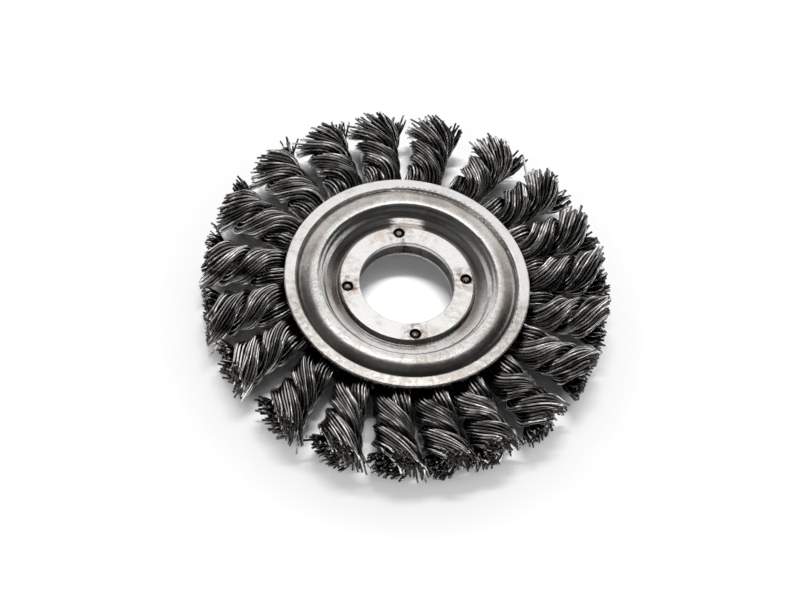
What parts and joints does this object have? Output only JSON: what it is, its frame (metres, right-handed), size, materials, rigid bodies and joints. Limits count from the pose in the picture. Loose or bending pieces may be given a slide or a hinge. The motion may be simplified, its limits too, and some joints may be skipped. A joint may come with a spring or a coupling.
{
  "type": "wire wheel brush",
  "caption": "Twisted-knot wire wheel brush: steel wire knots held between two riveted dished plates with an arbor bore.",
  "frame": {"origin": "middle of the arbor bore, on the wheel's mid-plane between the two plates", "axes": "+Z along the wheel's axis out of the front plate; a rivet lies on +X, -X, +Y and -Y and a knot is centred on +X"},
  "size_m": [0.0962, 0.0962, 0.012],
  "materials": {
    "plate_steel": "worn bright steel",
    "ring_steel": "dull grey steel",
    "rivet_steel": "stained steel",
    "wire_steel": "oiled dark steel wire"
  },
  "bodies": {
    "root": {"front_plate": "plate_steel", "rear_plate": "plate_steel", "hub_ring": "ring_steel", "hub_rivets": "rivet_steel", "knot_carrier": "ring_steel", "knot_01": "wire_steel", "knot_02": "wire_steel", "knot_03": "wire_steel", "knot_04": "wire_steel", "knot_05": "wire_steel", "knot_06": "wire_steel", "knot_07": "wire_steel", "knot_08": "wire_steel", "knot_09": "wire_steel", "knot_10": "wire_steel", "knot_11": "wire_steel", "knot_12": "wire_steel", "knot_13": "wire_steel", "knot_14": "wire_steel", "knot_15": "wire_steel", "knot_16": "wire_steel", "knot_17": "wire_steel", "knot_18": "wire_steel", "knot_19": "wire_steel", "knot_20": "wire_steel"}
  },
  "joints": []
}
